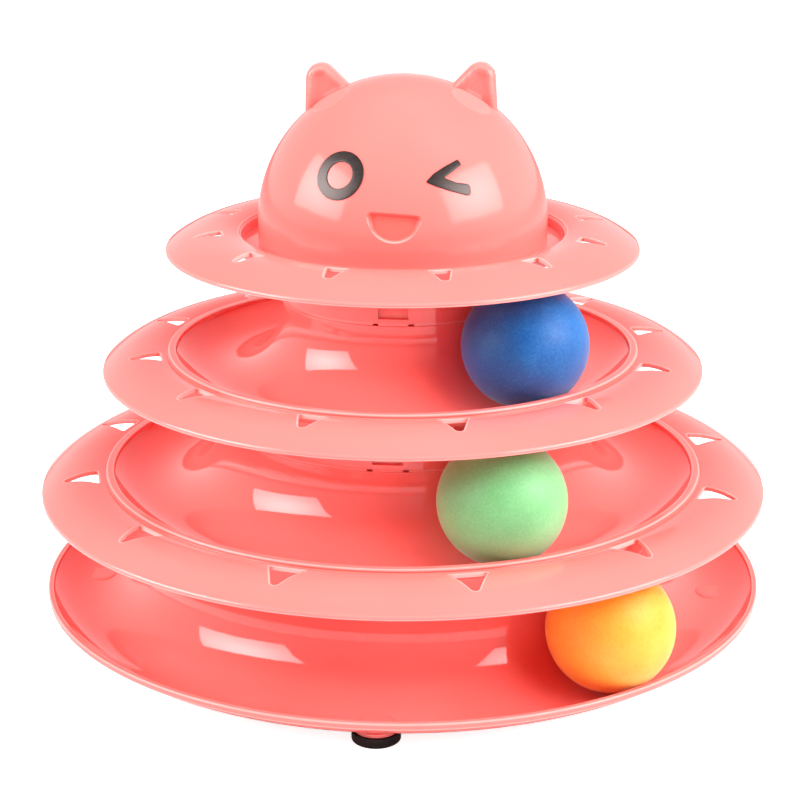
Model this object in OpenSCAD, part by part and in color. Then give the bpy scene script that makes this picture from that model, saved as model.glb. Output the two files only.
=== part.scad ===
// Cat ball track toy: a tray and two brimmed tracks stacked round hollow hubs, a
// brimmed top plate with a cat's head, and one captive ball in each track.
// The origin is on the tower's axis, level with the bottoms of the feet; -Y is the face.

/* [Ball] */
// Diameter of each ball
ball_d = 41.2; // [39:0.2:43]
// Wall of the hollow balls
ball_wall = 1.5; // [1:0.1:2.5]
// Running gap between a ball and its track
run_gap = 0.3; // [0.2:0.05:0.6]
// Place of the upper track's ball, in degrees from the front towards +X
upper_ball_turn = 43.3; // [20:0.1:70]
// Place of the middle track's ball, in degrees from the front towards +X
middle_ball_turn = 25.7; // [20:0.1:70]
// Place of the base tray's ball, in degrees from the front towards +X
tray_ball_turn = 41.8; // [20:0.1:70]

/* [Tracks] */
// Radius of the upper track's hub
hub_r = 41.4; // [39:0.2:45]
// Radius that each tier gains on the one above it
tier_step = 22.7; // [21.5:0.1:25]
// Wall of the two tracks' troughs, their collars and the head's seat
wall = 2; // [1.7:0.1:2.3]
// Wall of the base tray
tray_wall = 1.5; // [1.2:0.1:2]
// Height of each hub's upright wall over the curve of its trough
hub_h = 3.9; // [3:0.1:6]
// Height of a track's rim over its floor
rim_h = 7.7; // [7:0.1:8.5]
// Width of the bead that forms a track's rim
bead_w = 2.8; // [2.2:0.1:3.4]
// Height of the base tray's rim over its floor
tray_rim_h = 7.55; // [7:0.05:8.5]
// Width of the base tray's rim
tray_rim_w = 1.9; // [1.6:0.1:2.4]
// Height of the upright lip round the base tray's rim
tray_lip_h = 2.2; // [1.6:0.1:3]
// Play between the tray's ball and the inside of the tray's rim
tray_play = 0.3; // [0:0.05:0.8]
// Gap over the tray's ball, up to the middle track's brim
tray_head = 4.65; // [3.5:0.05:6]
// Gap over the middle track's ball, up to the upper track's brim
middle_head = 6.2; // [4:0.1:7]
// Gap over the upper track's ball, up to the top plate's brim
upper_head = 5.7; // [4.5:0.05:6.5]

/* [Brims] */
// Wall of the brims
brim_wall = 1.5; // [1.2:0.1:2]
// Reach of each brim past the inside of the rim below it
brim_over = 2.4; // [1:0.1:4]
// Distance from a track's bead to the crest of its brim
crest_out = 7; // [5:0.5:9]
// Radius of the curve across a track's brim
brim_curve = 23.5; // [22:0.5:30]
// Distance from the seat's lip to the crest of the top plate's brim
plate_crest_out = 8.5; // [6:0.5:10]
// Radius of the curve across the top plate's brim
plate_curve = 28; // [26:0.5:34]

/* [Brim holes] */
// Number of three-cornered holes in each brim
hole_count = 12; // [8:1:14]
// Turn of the first hole from the front, in degrees
hole_turn = 15; // [0:1:30]
// Half the angle that a hole's inner side spans, in degrees
hole_half_turn = 3.4; // [2.5:0.1:4]
// Gap from the bead to the middle track's holes
middle_hole_start = 2.8; // [2:0.1:5]
// Length of the middle track's holes
middle_hole_l = 11.4; // [8:0.2:13]
// Gap from the bead to the upper track's holes
upper_hole_start = 2.7; // [2:0.1:5]
// Length of the upper track's holes
upper_hole_l = 10.2; // [8:0.2:12]
// Gap from the seat's lip to the top plate's holes
plate_hole_start = 7.1; // [4:0.1:8]
// Length of the top plate's holes
plate_hole_l = 8.8; // [7:0.2:11]
// Radius of a hole's outer corner
hole_tip_r = 1.5; // [1:0.1:1.6]
// Radius of a hole's two inner corners
hole_corner_r = 0.6; // [0.4:0.1:0.9]

/* [Snap joints] */
// Gap between a hub's neck and the collar that slides over it
fit_gap = 0.25; // [0.15:0.05:0.4]
// Wall of each neck
neck_wall = 1.8; // [1.4:0.1:2.2]
// Height of each neck over its shoulder
neck_h = 9; // [8:0.2:10]
// Number of windows in each collar
window_count = 4; // [2:1:4]
// Width of a collar's window
window_w = 9.75; // [8:0.25:11]
// Height of a collar's window
window_h = 5; // [4.5:0.1:5.5]
// Height of the sill under a collar's window
sill_h = 2.35; // [2:0.05:2.6]
// Gap round a hook in its window
hook_gap = 0.4; // [0.3:0.05:0.6]
// Reach of a hook past its neck
hook_out = 1.5; // [1.2:0.1:1.8]
// Height of a hook
hook_h = 3.4; // [2.8:0.1:3.6]
// Width of the relief notches beside a window
notch_w = 1.8; // [1.4:0.1:2.2]
// Height of the relief notches beside a window
notch_h = 0.8; // [0.6:0.1:1]
// Gap from a window's side to the relief notch beside it
notch_out = 0.1; // [0:0.1:1]
// Bevel on both sides of each seam
seam_bevel = 0.3; // [0.2:0.05:0.5]

/* [Head] */
// Radius of the dome
dome_r = 49; // [47:0.5:51]
// Wall of the dome
dome_wall = 2; // [1.6:0.1:2.6]
// Height of the dome's upright skirt
skirt_h = 6.5; // [5:0.1:9]
// Width of the groove round the skirt
seat_gap = 5.5; // [4:0.1:7]
// Depth of the seat under its lip
seat_depth = 3.2; // [2.5:0.1:3.4]
// Rounding of the seat's lip
lip_round = 0.8; // [0.5:0.1:1.2]
// Height of the ring that the skirt fits over
spigot_h = 5; // [4:0.2:6]
// Wall of the ring that the skirt fits over
spigot_wall = 1.8; // [1.4:0.1:2.4]
// Distance of an ear's tip from the middle
ear_tip_x = 26.5; // [24:0.1:30]
// Height of an ear over the dome's top
ear_h = 3.9; // [2.5:0.1:6.5]
// Radius of an ear's rounded tip
ear_tip_r = 5; // [4:0.1:5.5]
// Radius of an ear's foot
ear_foot_r = 5; // [3.5:0.1:5.5]
// Depth of an ear from its front to its back
ear_d = 8.2; // [7:0.1:9]
// Depth of an ear's two feet under the dome's surface
ear_root = 7.6; // [6:0.1:9]
// Setback of an ear's middle behind the dome's axis
ear_back = 1.4; // [0:0.1:4]
// Depth of the hollow in an ear's front
ear_hollow = 1.1; // [0.6:0.1:1.5]
// Radius of the flat in front of each ear
flat_r = 7.25; // [6:0.05:8]

/* [Face] */
// Depth of an eye's pocket
pocket_depth = 0.6; // [0.4:0.05:0.8]
// Gap round an eye in its pocket
inlay_gap = 0.05; // [0.05:0.05:0.15]
// Stand of an eye over the dome
inlay_proud = 0.25; // [0.15:0.05:0.4]
// Outer radius of the open eye
eye_r = 8.15; // [7:0.05:9]
// Inner radius of the open eye
eye_in_r = 4.45; // [3.5:0.05:5]
// Radius of the mouth
mouth_r = 8.2; // [7:0.1:9]
// Depth of the mouth
mouth_depth = 0.8; // [0.5:0.1:1]

/* [Feet] */
// Diameter of a foot
foot_d = 15.4; // [13:0.1:17]
// Height of a foot under its boss
foot_h = 3.3; // [2.5:0.1:4.5]
// Rounding of a foot's lower edge
foot_round = 0.6; // [0.3:0.1:1]
// Distance of each foot's middle outside the orbit of the tray's ball
foot_place_r = 1.7; // [-1.7:0.1:3.3]
// Diameter of the boss over a foot
boss_d = 13.8; // [12:0.1:14.2]
// Stand of a boss under the tray's floor
boss_h = 0.3; // [0.2:0.1:1]
// Diameter of the stud that holds a foot
stud_d = 5; // [4:0.2:6]
// Length of the stud that holds a foot
stud_l = 1.1; // [0.8:0.1:1.2]
// Gap round and over a stud
stud_gap = 0.1; // [0.05:0.05:0.2]
// Height of the low disc on the tray's floor over each foot
disc_h = 0.55; // [0.3:0.05:0.8]
// Diameter of that low disc
disc_d = 9.9; // [8:0.1:11]
// Slope width of that low disc's side
disc_side = 1; // [0.5:0.1:1.4]

/* [Hidden] */
shell_pink = [1, 0.5, 0.47];
eye_grey = [0.12, 0.12, 0.13];
rubber_black = [0.08, 0.07, 0.07];
$fn = 96;
// Overrun of every cut past the face that it opens
over = 1;
// Steps in each curved stretch of a turned profile
fine_steps = 12;
corner_steps = 5;
// Share of the hub's upright wall over which its neck is rooted
root_share = 0.4;
// Places of an ear's two feet, in degrees from upright round the dome's centre
ear_outer_turn = 41.5;
ear_inner_turn = 23.6;
// Radius of the hollow in an ear's front, as a share of the ear's tip
scoop_share = 0.62;
// Bends of the closed eye, as shares of the open eye's radius
wink_corner_share = [-0.76, -0.1];
wink_up_share = [0.72, 0.55];
wink_low_share = [0.79, -0.45];
// Half widths of the closed eye at its corner and at the ends of its arms
wink_corner_r = 1.1;
wink_up_r = 0.85;
wink_low_r = 1.6;
// Places on the dome: turn from the front towards +X and lift over its centre, in degrees
eye_turn = 23.4;
eye_lift = 28.3;
wink_turn = 22.8;
wink_lift = 28;
mouth_turn = 1;
mouth_lift = 14.4;
mouth_tilt = -3.9;
flat_turn = 71;
flat_lift = 59.8;

ball_r = ball_d / 2;
trough_r = ball_r + run_gap;
middle_hub_r = hub_r + tier_step;
tray_hub_r = middle_hub_r + tier_step;

// Reach from a ball's orbit to the inside of a rim that just clears the ball
function rim_reach(ball_h, bead_h, bead_r) =
    sqrt(pow(trough_r + bead_r, 2) - pow(ball_h - bead_h, 2)) - bead_r;
bead_r = bead_w / 2;
track_reach = rim_reach(trough_r, rim_h - bead_r, bead_r);
tray_ball_h = trough_r + disc_h;
tray_bead_r = tray_rim_w / 2;
tray_reach = rim_reach(tray_ball_h, tray_rim_h - tray_bead_r, tray_bead_r) + tray_play;

upper_orbit = hub_r + trough_r;
middle_orbit = middle_hub_r + trough_r;
tray_orbit = tray_hub_r + trough_r;
upper_rim_r = upper_orbit + track_reach;
middle_rim_r = middle_orbit + track_reach;
tray_rim_r = tray_orbit + tray_reach;
foot_r = tray_orbit + foot_place_r;
// Height of each hub's shoulder over its own floor
shoulder_h = trough_r + hub_h;

// Height of a brim's crest over its track's floor
crest_rise = brim_curve - sqrt(pow(brim_curve, 2) - pow(crest_out, 2));
crest_h = rim_h - bead_r + crest_rise;

// Heights of the floors, each set by the ball under the next brim
tray_floor = foot_h + boss_h + tray_wall;
tray_ball_z = tray_floor + tray_ball_h;
middle_floor = tray_ball_z + ball_r + tray_head + brim_wall - crest_h;
middle_ball_z = middle_floor + trough_r;
upper_floor = middle_ball_z + ball_r + middle_head + brim_wall - crest_h;
upper_ball_z = upper_floor + trough_r;
plate_crest_z = upper_ball_z + ball_r + upper_head + brim_wall;
plate_rise = plate_curve - sqrt(pow(plate_curve, 2) - pow(plate_crest_out, 2));
lip_z = plate_crest_z - plate_rise;
seat_z = lip_z - seat_depth;
seat_r = dome_r + seat_gap;
dome_z = seat_z + skirt_h;

// Points along an arc about c from angle a0 to angle a1
function arc(c, r, a0, a1, steps) =
    [for (i = [0:steps]) c + r * [cos(a0 + (a1 - a0) * i / steps), sin(a0 + (a1 - a0) * i / steps)]];

// Upper face of a brim from its rounded edge in to start_r, then its lower face back out
function brim_centre(crest_r, crest_z, curve) = [crest_r, crest_z - curve];
function brim_edge_turn(edge_r, crest_r, curve) =
    acos((edge_r - brim_wall / 2 - crest_r) / (curve - brim_wall / 2));
function brim_top(start_r, edge_r, crest_r, crest_z, curve) =
    arc(brim_centre(crest_r, crest_z, curve), curve, brim_edge_turn(edge_r, crest_r, curve),
        acos((start_r - crest_r) / curve), fine_steps);
function brim_edge(edge_r, crest_r, crest_z, curve) =
    let (turn = brim_edge_turn(edge_r, crest_r, curve),
        c = brim_centre(crest_r, crest_z, curve) + (curve - brim_wall / 2) * [cos(turn), sin(turn)])
    arc(c, brim_wall / 2, turn - 180, turn, corner_steps);
function brim_under(end_r, edge_r, crest_r, crest_z, curve) =
    arc(brim_centre(crest_r, crest_z, curve), curve - brim_wall,
        acos((end_r - crest_r) / (curve - brim_wall)), brim_edge_turn(edge_r, crest_r, curve), fine_steps);

// Radius of the trough's outer curve, which meets the upright rim at rise
function outer_curve(reach, rise) = (pow(reach, 2) + pow(rise, 2)) / (2 * rise);

// Upper face of a trough from its rim in to its hub
function trough_top(orbit, floor_z, reach, rise) =
    let (r = outer_curve(reach, rise))
    concat(arc([orbit, floor_z + r], r, asin(reach / r) - 90, -90, fine_steps),
        arc([orbit, floor_z + trough_r], trough_r, -90, -180, fine_steps));

// Lower face of a trough from its hub out to the angle last_turn under the rim
function trough_under(orbit, floor_z, reach, rise, thick, last_turn) =
    let (r = outer_curve(reach, rise))
    concat(arc([orbit, floor_z + trough_r], trough_r + thick, -180, -90, fine_steps),
        arc([orbit, floor_z + r], r + thick, -90, last_turn, fine_steps));

// Shoulder and neck on top of a hub, and the foot of the neck inside it
function hub_top(hub, floor_z) =
    let (shoulder = floor_z + shoulder_h, neck_r = hub - wall - fit_gap, top = shoulder + neck_h)
    [[hub, shoulder - seam_bevel], [hub - seam_bevel, shoulder], [neck_r, shoulder],
        [neck_r, top - fit_gap], [neck_r - fit_gap, top], [neck_r - neck_wall, top],
        [neck_r - neck_wall, shoulder - hub_h * root_share]];

// Upright collar under a turned piece: its inside from top_in down to seam_z, then its
// outside back up to top_out
function collar(r, seam_z, top_in, top_out) =
    [[r - wall, top_in], [r - wall, seam_z], [r - seam_bevel, seam_z], [r, seam_z + seam_bevel],
        [r, top_out]];

module base_tray_profile() {
    rise = tray_rim_h - tray_bead_r;
    curve = outer_curve(tray_reach, rise);
    lip_low = tray_rim_h - tray_lip_h;
    lip_turn = asin((lip_low - curve) / (curve + tray_wall));
    bead = [tray_rim_r + tray_bead_r, tray_floor + rise];
    polygon(concat(
        arc(bead, tray_bead_r, 0, 180, fine_steps),
        trough_top(tray_orbit, tray_floor, tray_reach, rise),
        hub_top(tray_hub_r, tray_floor),
        trough_under(tray_orbit, tray_floor, tray_reach, rise, tray_wall, lip_turn),
        [[tray_rim_r + tray_rim_w, tray_floor + lip_low]]));
}

module track_profile(hub, orbit, floor_z, edge_r, seam_z) {
    rise = rim_h - bead_r;
    rim_r = orbit + track_reach;
    curve = outer_curve(track_reach, rise);
    crease_r = rim_r + bead_w;
    crest_r = crease_r + crest_out;
    crest_z = floor_z + crest_h;
    // The brim's lower face ends on the trough's outer wall
    wall_r = rim_r + wall;
    meet_z = crest_z - brim_curve + sqrt(pow(brim_curve - brim_wall, 2) - pow(crest_r - wall_r, 2));
    meet_turn = asin((meet_z - floor_z - curve) / (curve + wall));
    under = trough_under(orbit, floor_z, track_reach, rise, wall, meet_turn);
    collar_r = hub + tier_step;
    inner = [for (p = under) if (p[0] < collar_r - wall) p];
    outer = [for (p = under) if (p[0] > collar_r) p];
    polygon(concat(
        brim_top(crease_r, edge_r, crest_r, crest_z, brim_curve),
        arc([rim_r + bead_r, floor_z + rise], bead_r, 0, 180, fine_steps),
        trough_top(orbit, floor_z, track_reach, rise),
        hub_top(hub, floor_z),
        inner,
        collar(collar_r, seam_z, inner[len(inner) - 1][1], outer[0][1]),
        outer,
        brim_under(wall_r, edge_r, crest_r, crest_z, brim_curve),
        brim_edge(edge_r, crest_r, crest_z, brim_curve)));
}

module top_plate_profile() {
    edge_r = upper_rim_r + brim_over;
    crest_r = seat_r + plate_crest_out;
    crest_z = plate_crest_z;
    lip_r = seat_r + lip_round;
    under_z = seat_z - wall;
    spigot_r = dome_r - dome_wall - fit_gap;
    spigot_in = spigot_r - spigot_wall;
    hub_in = hub_r - wall;
    // The seat's floor ends at the collar, or reaches in past it to a smaller ring
    floor_end = spigot_in > hub_in ? [[spigot_in, seat_z], [hub_in, seat_z]] : [[spigot_in, under_z]];
    polygon(concat(
        brim_top(lip_r, edge_r, crest_r, crest_z, plate_curve),
        arc([lip_r, lip_z - lip_round], lip_round, 90, 180, corner_steps),
        [[seat_r, seat_z], [spigot_r, seat_z], [spigot_r, seat_z + spigot_h],
            [spigot_in, seat_z + spigot_h]],
        floor_end,
        collar(hub_r, upper_floor + shoulder_h, under_z, under_z),
        [[seat_r + wall, under_z]],
        brim_under(seat_r + wall, edge_r, crest_r, crest_z, plate_curve),
        brim_edge(edge_r, crest_r, crest_z, plate_curve)));
}

// Outline of one three-cornered hole, wide side at x = r, tip at x = r + length
module hole_outline(r, length) {
    half = r * tan(hole_half_turn);
    // Half the angle at the tip
    tip_turn = atan(half / length);
    tip = r + length - hole_tip_r;
    // Half the angle at each inner corner, and the centre of its rounding
    corner_turn = (90 - tip_turn) / 2;
    corner = [r + hole_corner_r, half - hole_corner_r / tan(corner_turn)];
    polygon(concat(
        arc([tip, 0], hole_tip_r, tip_turn - 90, 90 - tip_turn, corner_steps),
        arc(corner, hole_corner_r, 90 - tip_turn, 180, corner_steps),
        arc([corner[0], -corner[1]], hole_corner_r, 180, 270 + tip_turn, corner_steps)));
}

module brim_holes(r, length, low_z, high_z) {
    for (i = [0:hole_count - 1])
        rotate([0, 0, hole_turn + i * 360 / hole_count - 90])
            translate([0, 0, low_z])
                linear_extrude(height = high_z - low_z)
                    hole_outline(r, length);
}

// Windows and relief notches cut through a collar of radius r that stands on seam_z
module collar_cuts(r, seam_z) {
    depth = wall + 2 * over;
    notch_turn = atan((window_w / 2 + notch_out + notch_w / 2) / r);
    for (i = [0:window_count - 1])
        rotate([0, 0, i * 360 / window_count]) {
            translate([-window_w / 2, -r - over, seam_z + sill_h])
                cube([window_w, depth, window_h]);
            for (side = [-1, 1])
                rotate([0, 0, side * notch_turn])
                    translate([-notch_w / 2, -r - over, seam_z - over])
                        cube([notch_w, depth, over + notch_h]);
        }
}

// Hooks on a neck inside a collar of radius r that stands on seam_z
module hooks(r, seam_z) {
    neck_r = r - wall - fit_gap;
    width = window_w - 2 * hook_gap;
    low = seam_z + sill_h + hook_gap;
    root = neck_r - neck_wall / 2;
    tip = neck_r + hook_out;
    for (i = [0:window_count - 1])
        rotate([0, 0, i * 360 / window_count])
            translate([-width / 2, 0, 0])
                rotate([90, 0, 90])
                    linear_extrude(height = width)
                        polygon([[-root, low], [-tip, low], [-tip, low + hook_out / 2],
                            [-neck_r, low + hook_h], [-root, low + hook_h]]);
}

module base_tray() {
    color(shell_pink)
        difference() {
            union() {
                rotate_extrude(convexity = 6)
                    base_tray_profile();
                hooks(tray_hub_r, tray_floor + shoulder_h);
                foot_places()
                    foot_boss();
            }
            foot_places()
                translate([0, 0, foot_h - over])
                    cylinder(d = stud_d + 2 * stud_gap, h = over + stud_l + stud_gap, $fn = 36);
        }
}

module foot_places() {
    for (i = [0:3])
        rotate([0, 0, i * 90])
            translate([0, -foot_r, 0])
                children();
}

// Boss under the tray's floor and low disc on top of it, turned in one piece
module foot_boss() {
    rotate_extrude($fn = 48)
        polygon([[0, foot_h], [boss_d / 2, foot_h], [boss_d / 2, tray_floor - tray_wall / 2],
            [disc_d / 2 + disc_side, tray_floor], [disc_d / 2, tray_floor + disc_h],
            [0, tray_floor + disc_h]]);
}

// One brimmed track, whose collar stands on a shoulder at seam_z over the rim rim_below
module track(hub, orbit, floor_z, rim_below, seam_z, hole_start, hole_l) {
    edge_r = rim_below + brim_over;
    hole_r = orbit + track_reach + bead_w + hole_start;
    difference() {
        union() {
            rotate_extrude(convexity = 8)
                track_profile(hub, orbit, floor_z, edge_r, seam_z);
            hooks(hub, floor_z + shoulder_h);
        }
        brim_holes(hole_r, hole_l, floor_z - over, floor_z + crest_h + over);
        collar_cuts(hub + tier_step, seam_z);
    }
}

module middle_track() {
    color(shell_pink)
        track(middle_hub_r, middle_orbit, middle_floor, tray_rim_r, tray_floor + shoulder_h,
            middle_hole_start, middle_hole_l);
}

module upper_track() {
    color(shell_pink)
        track(hub_r, upper_orbit, upper_floor, middle_rim_r, middle_floor + shoulder_h,
            upper_hole_start, upper_hole_l);
}

module top_plate() {
    color(shell_pink)
        difference() {
            rotate_extrude(convexity = 8)
                top_plate_profile();
            brim_holes(seat_r + plate_hole_start, plate_hole_l, seat_z - wall - over,
                plate_crest_z + over);
            collar_cuts(hub_r, upper_floor + shoulder_h);
        }
}

// Places children on the dome: z points out of it, y up it and x to the viewer's right
module on_dome(turn, lift) {
    translate([0, 0, dome_z])
        rotate([0, 0, turn])
            rotate([90 - lift, 0, 0])
                children();
}

// Half outline of a dome of radius r whose upright skirt starts at low_z
module dome_outline(r, low_z) {
    polygon(concat([[0, low_z], [r, low_z]], arc([0, dome_z], r, 0, 90, 4 * fine_steps)));
}

// Middle of an ear's tip, and of a foot under the dome at an angle from upright
function ear_tip(side) = [side * ear_tip_x, ear_back, dome_z + dome_r + ear_h - ear_tip_r];
function ear_foot(side, turn) =
    [side * (dome_r - ear_root) * sin(turn), ear_back, dome_z + (dome_r - ear_root) * cos(turn)];

// One rounded end of an ear, as deep from front to back as the ear
module ear_knob(place, r) {
    translate(place)
        scale([1, ear_d / (2 * r), 1])
            sphere(r = r, $fn = 32);
}

// One ear as the hull of a tip and two feet inside the dome
module ear(side) {
    hull() {
        ear_knob(ear_tip(side), ear_tip_r);
        for (turn = [ear_outer_turn, ear_inner_turn])
            ear_knob(ear_foot(side, turn), ear_foot_r);
    }
}

// Shallow hollow in the front of an ear, from its tip down to between its feet
module ear_scoop(side) {
    scoop_r = ear_tip_r * scoop_share;
    forward = ear_d / 2 + scoop_r - ear_hollow;
    hull()
        for (place = [ear_tip(side), ear_foot(side, (ear_outer_turn + ear_inner_turn) / 2)])
            translate(place - [0, forward, 0])
                sphere(r = scoop_r, $fn = 24);
}

// Flat cut on the dome in front of an ear
module ear_flat(side) {
    depth = sqrt(pow(dome_r, 2) - pow(flat_r, 2));
    on_dome(side * flat_turn, flat_lift)
        translate([0, 0, depth])
            cylinder(r = flat_r + over, h = dome_r - depth + over);
}

// Solid between two depths of the dome's surface, for the eyes and their pockets
module dome_layer(low, high) {
    intersection() {
        children();
        translate([0, 0, dome_z])
            difference() {
                sphere(r = dome_r + high);
                sphere(r = dome_r - low);
            }
    }
}

module ring_outline(grow) {
    difference() {
        circle(r = eye_r + grow);
        circle(r = eye_in_r - grow);
    }
}

module wink_outline(grow) {
    for (arm = [[wink_up_share, wink_up_r], [wink_low_share, wink_low_r]])
        hull() {
            translate(wink_corner_share * eye_r)
                circle(r = wink_corner_r + grow, $fn = 24);
            translate(arm[0] * eye_r)
                circle(r = arm[1] + grow, $fn = 24);
        }
}

module eye_ring_solid(grow, low, high) {
    dome_layer(low, high)
        on_dome(-eye_turn, eye_lift)
            linear_extrude(height = dome_r + over)
                ring_outline(grow);
}

module eye_wink_solid(grow, low, high) {
    dome_layer(low, high)
        on_dome(wink_turn, wink_lift)
            linear_extrude(height = dome_r + over)
                wink_outline(grow);
}

module mouth_cut() {
    dome_layer(mouth_depth, over)
        on_dome(mouth_turn, mouth_lift)
            rotate([0, 0, mouth_tilt])
                linear_extrude(height = dome_r + over)
                    intersection() {
                        circle(r = mouth_r);
                        translate([-mouth_r, -mouth_r])
                            square([2 * mouth_r, mouth_r]);
                    }
}

module head_shell() {
    color(shell_pink)
        difference() {
            union() {
                difference() {
                    rotate_extrude()
                        dome_outline(dome_r, seat_z);
                    for (side = [-1, 1])
                        ear_flat(side);
                }
                for (side = [-1, 1])
                    difference() {
                        ear(side);
                        ear_scoop(side);
                    }
            }
            rotate_extrude()
                dome_outline(dome_r - dome_wall, seat_z - over);
            eye_ring_solid(inlay_gap, pocket_depth, over);
            eye_wink_solid(inlay_gap, pocket_depth, over);
            mouth_cut();
        }
}

module eye_ring() {
    color(eye_grey)
        eye_ring_solid(0, pocket_depth - inlay_gap, inlay_proud);
}

module eye_wink() {
    color(eye_grey)
        eye_wink_solid(0, pocket_depth - inlay_gap, inlay_proud);
}

module ball(turn, orbit, z) {
    rotate([0, 0, turn])
        translate([0, -orbit, z])
            difference() {
                sphere(r = ball_r);
                sphere(r = ball_r - ball_wall);
            }
}

module ball_yellow() {
    color([1, 0.68, 0.2])
        ball(tray_ball_turn, tray_orbit, tray_ball_z);
}

module ball_green() {
    color([0.5, 0.87, 0.5])
        ball(middle_ball_turn, middle_orbit, middle_ball_z);
}

module ball_blue() {
    color([0.1, 0.38, 0.75])
        ball(upper_ball_turn, upper_orbit, upper_ball_z);
}

// Rubber foot: a disc with a rounded lower edge and a stud in the tray's boss
module foot(place) {
    color(rubber_black)
        rotate([0, 0, place * 90])
            translate([0, -foot_r, 0])
                rotate_extrude($fn = 48)
                    polygon(concat([[0, 0]],
                        arc([foot_d / 2 - foot_round, foot_round], foot_round, -90, 0, corner_steps),
                        [[foot_d / 2, foot_h], [stud_d / 2, foot_h], [stud_d / 2, foot_h + stud_l],
                            [0, foot_h + stud_l]]));
}

module foot_front() { foot(0); }
module foot_right() { foot(1); }
module foot_back() { foot(2); }
module foot_left() { foot(3); }

base_tray();
middle_track();
upper_track();
top_plate();
head_shell();
eye_ring();
eye_wink();
ball_yellow();
ball_green();
ball_blue();
foot_front();
foot_right();
foot_back();
foot_left();
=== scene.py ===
import math

import bmesh
import bpy
import numpy as np
from mathutils import Matrix, Vector
from mathutils.geometry import delaunay_2d_cdt


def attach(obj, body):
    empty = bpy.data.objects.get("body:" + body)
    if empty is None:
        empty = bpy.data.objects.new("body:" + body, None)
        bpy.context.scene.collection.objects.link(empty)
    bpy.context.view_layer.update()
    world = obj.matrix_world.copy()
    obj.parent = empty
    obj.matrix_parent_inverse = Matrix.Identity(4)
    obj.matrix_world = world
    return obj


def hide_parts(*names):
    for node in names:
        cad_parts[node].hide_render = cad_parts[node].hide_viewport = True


# Looks of the cat ball track toy: turned glossy shells, a domed cat's head, chalky balls.
# Lengths are in millimetres until a mesh is made, where MM turns them into metres.
# Heights count from the floor under the feet, and a turn counts from the front towards +X.

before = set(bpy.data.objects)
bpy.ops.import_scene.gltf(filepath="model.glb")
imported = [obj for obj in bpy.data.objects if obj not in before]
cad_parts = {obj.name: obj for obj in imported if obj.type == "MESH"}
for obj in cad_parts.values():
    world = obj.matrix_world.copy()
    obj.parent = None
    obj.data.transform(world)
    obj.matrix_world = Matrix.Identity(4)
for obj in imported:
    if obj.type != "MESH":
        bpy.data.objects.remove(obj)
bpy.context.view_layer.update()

# Meshes
MM = 0.001
WELD = 0.003
SPOT_WELD = 1e-5
TOUCH = 0.02
ARC_TOUCH = 0.004
COLUMNS = 288
SHARP_TURN = 35
CUT_PAST = 1
TINY = 1e-9
BEHIND = 99

# Painted highlight where a surface bends outwards and painted shade where it bends inwards, by its bending
# in radians per millimetre
BENDING = (0.5, 1.6)
BENDING_TOO_TIGHT = (3.2, 3.9)
BENDING_REACH = 0.6
BENDING_SHORTEST = 0.05
PAINTED_LIGHT_SHARE = {"edge": 0.4, "painted_shade": 0.7}

# Balls and tracks
BALL_R = 20.6
RUN_GAP = 0.3
BALL_TURNS = {"blue": 43.3, "green": 25.7, "yellow": 41.8}
BALL_TILTS = {"blue": (2.0, 0.8), "green": (0.3, 1.2), "yellow": (1.1, 0.4)}
SEAM_H = 0.04
SEAM_W = 0.5
HUB_R = 41.4
TIER_STEP = 22.7
WALL = 2
TRAY_WALL = 1.5
HUB_H = 3.9
RIM_H = 7.7
BEAD_W = 2.8
BEAD_ROUND = 0.55
TRAY_RIM_H = 7.55
TRAY_RIM_W = 1.9
TRAY_RIM_ROUND = 0.4
TRAY_LIP_H = 2.2
TRAY_PLAY = 0.3
HEADROOM = {"yellow": 4.65, "green": 6.2, "blue": 5.7}

# Brims and their holes
BRIM_WALL = 1.5
BRIM_OVER = 2.4
CREST_OUT = 7
BRIM_CURVE = 23.5
PLATE_CREST_OUT = 8.5
PLATE_CURVE = 28
EDGE_BAND = 1.25
EDGE_SLOPE_W = 1
EDGE_ROUNDS = (0.3, 0.35, 0.6)
HOLE_COUNT = 12
HOLE_TURN = 15
HOLE_HALF_TURN = 3.4
HOLE_TIP_R = 1.5
HOLE_CORNER_R = 0.6
HOLE_MARGIN = 1.6
HOLE_PITCH = 0.8
MIDDLE_HOLE = (2.8, 11.4)
UPPER_HOLE = (2.7, 10.2)
PLATE_HOLE = (7.1, 8.8)
HOLE_ROUND = 0.5
HOLE_ROUND_UNDER = 0.25
ZONE_PITCH = 1.1
ZONE_GUARD = 0.3
ZONE_CLEAR = 0.35

# Snap joints
FIT_GAP = 0.25
NECK_WALL = 1.8
NECK_H = 9
NECK_ROOT = 1
WINDOWS = 4
WINDOW_W = 9.75
WINDOW_H = 5
SILL_H = 2.35
HOOK_GAP = 0.04
HOOK_OUT = 0.6
HOOK_H = 3.4
NOTCH_W = 1.8
NOTCH_H = 0.8
NOTCH_OUT = 0.1

# Corner reaches along a turned path
SEAMLESS = 0.1
CRISP = 0.2
RIM_FOOT = 0.25
EASED = 0.3
DULL = 0.4
SOFT = 0.5
HOLLOW = 0.8

# Head: a place on the dome is a turn and a lift
DOME_R = 49
DOME_WALL = 2
SKIRT_H = 6.5
SEAT_GAP = 5.5
SEAT_DEPTH = 3.2
LIP_ROUND = 0.8
SPIGOT_H = 5
SPIGOT_WALL = 1.8
FLAT_R = 7.25
FLAT_PLACE = (71, 59.8)
FLAT_SOFT = 0.03
# Painted highlight on the flats
FLAT_PAINTED_HIGHLIGHT = 0.13
DOME_STEP = 0.02
GATE_PLACE = (17.4, 45.7)
GATE_RING_R = 1.1
GATE_RING_W = 0.45
GATE_RING_H = 0.07
DOME_PITCHES = ((2.2, 5, 1e9), (0.9, 1.2, 5), (0.3, -1, 1.2))

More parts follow.
